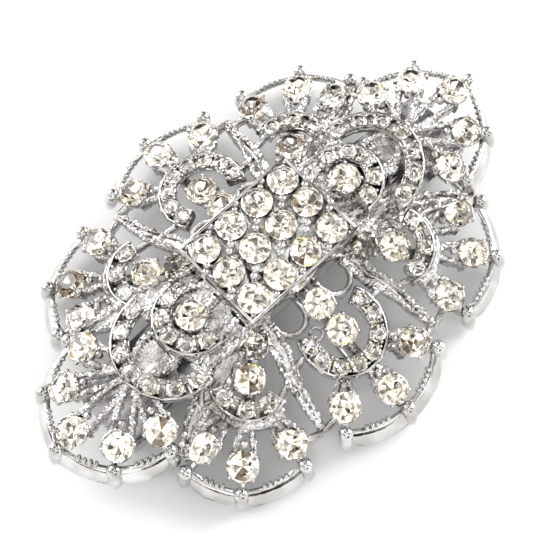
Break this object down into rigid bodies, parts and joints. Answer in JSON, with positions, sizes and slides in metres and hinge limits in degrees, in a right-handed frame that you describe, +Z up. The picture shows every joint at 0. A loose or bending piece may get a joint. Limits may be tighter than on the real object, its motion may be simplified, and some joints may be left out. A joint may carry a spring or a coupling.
{
  "type": "rhinestone hair clip",
  "caption": "Openwork silver-coloured hair clip set with clear rhinestones, on a French barrette with a hinged closing arm and a squeeze clasp.",
  "frame": {"origin": "under the middle of the clip, on the surface it lies on", "axes": "+X along the long axis towards the clasp end, +Y across the clip, +Z up through the stones"},
  "size_m": [0.057, 0.0408, 0.0149],
  "materials": {
    "casting_metal": "rhodium-coloured plating, polished over a slightly uneven cast surface",
    "crystal": "clear faceted glass with a silvered back",
    "barrette_steel": "bright nickel-plated spring steel"
  },
  "bodies": {
    "ornament": {"filigree_casting": "casting_metal", "tile_box": "casting_metal", "tile_stone_1_1": "crystal", "tile_stone_1_2": "crystal", "tile_stone_1_3": "crystal", "tile_stone_1_4": "crystal", "tile_stone_2_1": "crystal", "tile_stone_2_2": "crystal", "tile_stone_2_3": "crystal", "tile_stone_2_4": "crystal", "tile_stone_3_1": "crystal", "tile_stone_3_2": "crystal", "tile_stone_3_3": "crystal", "tile_stone_3_4": "crystal", "fan_stone_ne_1": "crystal", "fan_stone_ne_2": "crystal", "fan_stone_ne_3": "crystal", "stalk_stone_ne": "crystal", "fan_stone_nw_1": "crystal", "fan_stone_nw_2": "crystal", "fan_stone_nw_3": "crystal", "stalk_stone_nw": "crystal", "fan_stone_sw_1": "crystal", "fan_stone_sw_2": "crystal", "fan_stone_sw_3": "crystal", "stalk_stone_sw": "crystal", "fan_stone_se_1": "crystal", "fan_stone_se_2": "crystal", "fan_stone_se_3": "crystal", "stalk_stone_se": "crystal", "fan_stone_n_1": "crystal", "fan_stone_n_2": "crystal", "fan_stone_n_3": "crystal", "stalk_stone_n": "crystal", "fan_stone_s_1": "crystal", "fan_stone_s_2": "crystal", "fan_stone_s_3": "crystal", "stalk_stone_s": "crystal", "fan_stone_e_1": "crystal", "fan_stone_e_2": "crystal", "fan_stone_e_3": "crystal", "fan_stone_e_4": "crystal", "fan_stone_e_5": "crystal", "stalk_stone_e": "crystal", "fan_stone_w_1": "crystal", "fan_stone_w_2": "crystal", "fan_stone_w_3": "crystal", "fan_stone_w_4": "crystal", "fan_stone_w_5": "crystal", "stalk_stone_w": "crystal", "base_plate": "barrette_steel", "tension_leaf": "barrette_steel", "leaf_rivet": "barrette_steel", "hinge_pin": "barrette_steel"},
    "arm": {"swing_arm": "barrette_steel"},
    "clasp_north": {"clasp_tab_north": "barrette_steel"},
    "clasp_south": {"clasp_tab_south": "barrette_steel"}
  },
  "joints": [
    {"name": "arm_hinge", "type": "hinge", "parent": "ornament", "child": "arm", "pos_m": [-0.021, 0, 0.00235], "axis": [0, 1, 0], "range_deg": [0, 70]},
    {"name": "clasp_squeeze_north", "type": "hinge", "parent": "ornament", "child": "clasp_north", "pos_m": [0.0215, 0.0019, 0.005], "axis": [-1, 0, 0], "range_deg": [0, 6], "stiffness_Nm_per_rad": 0.02},
    {"name": "clasp_squeeze_south", "type": "hinge", "parent": "ornament", "child": "clasp_south", "pos_m": [0.0215, -0.0019, 0.005], "axis": [1, 0, 0], "range_deg": [0, 6], "stiffness_Nm_per_rad": 0.02}
  ],
  "couplings": [
    {"joint": "clasp_squeeze_south", "follows": "clasp_squeeze_north", "ratio": 1}
  ]
}
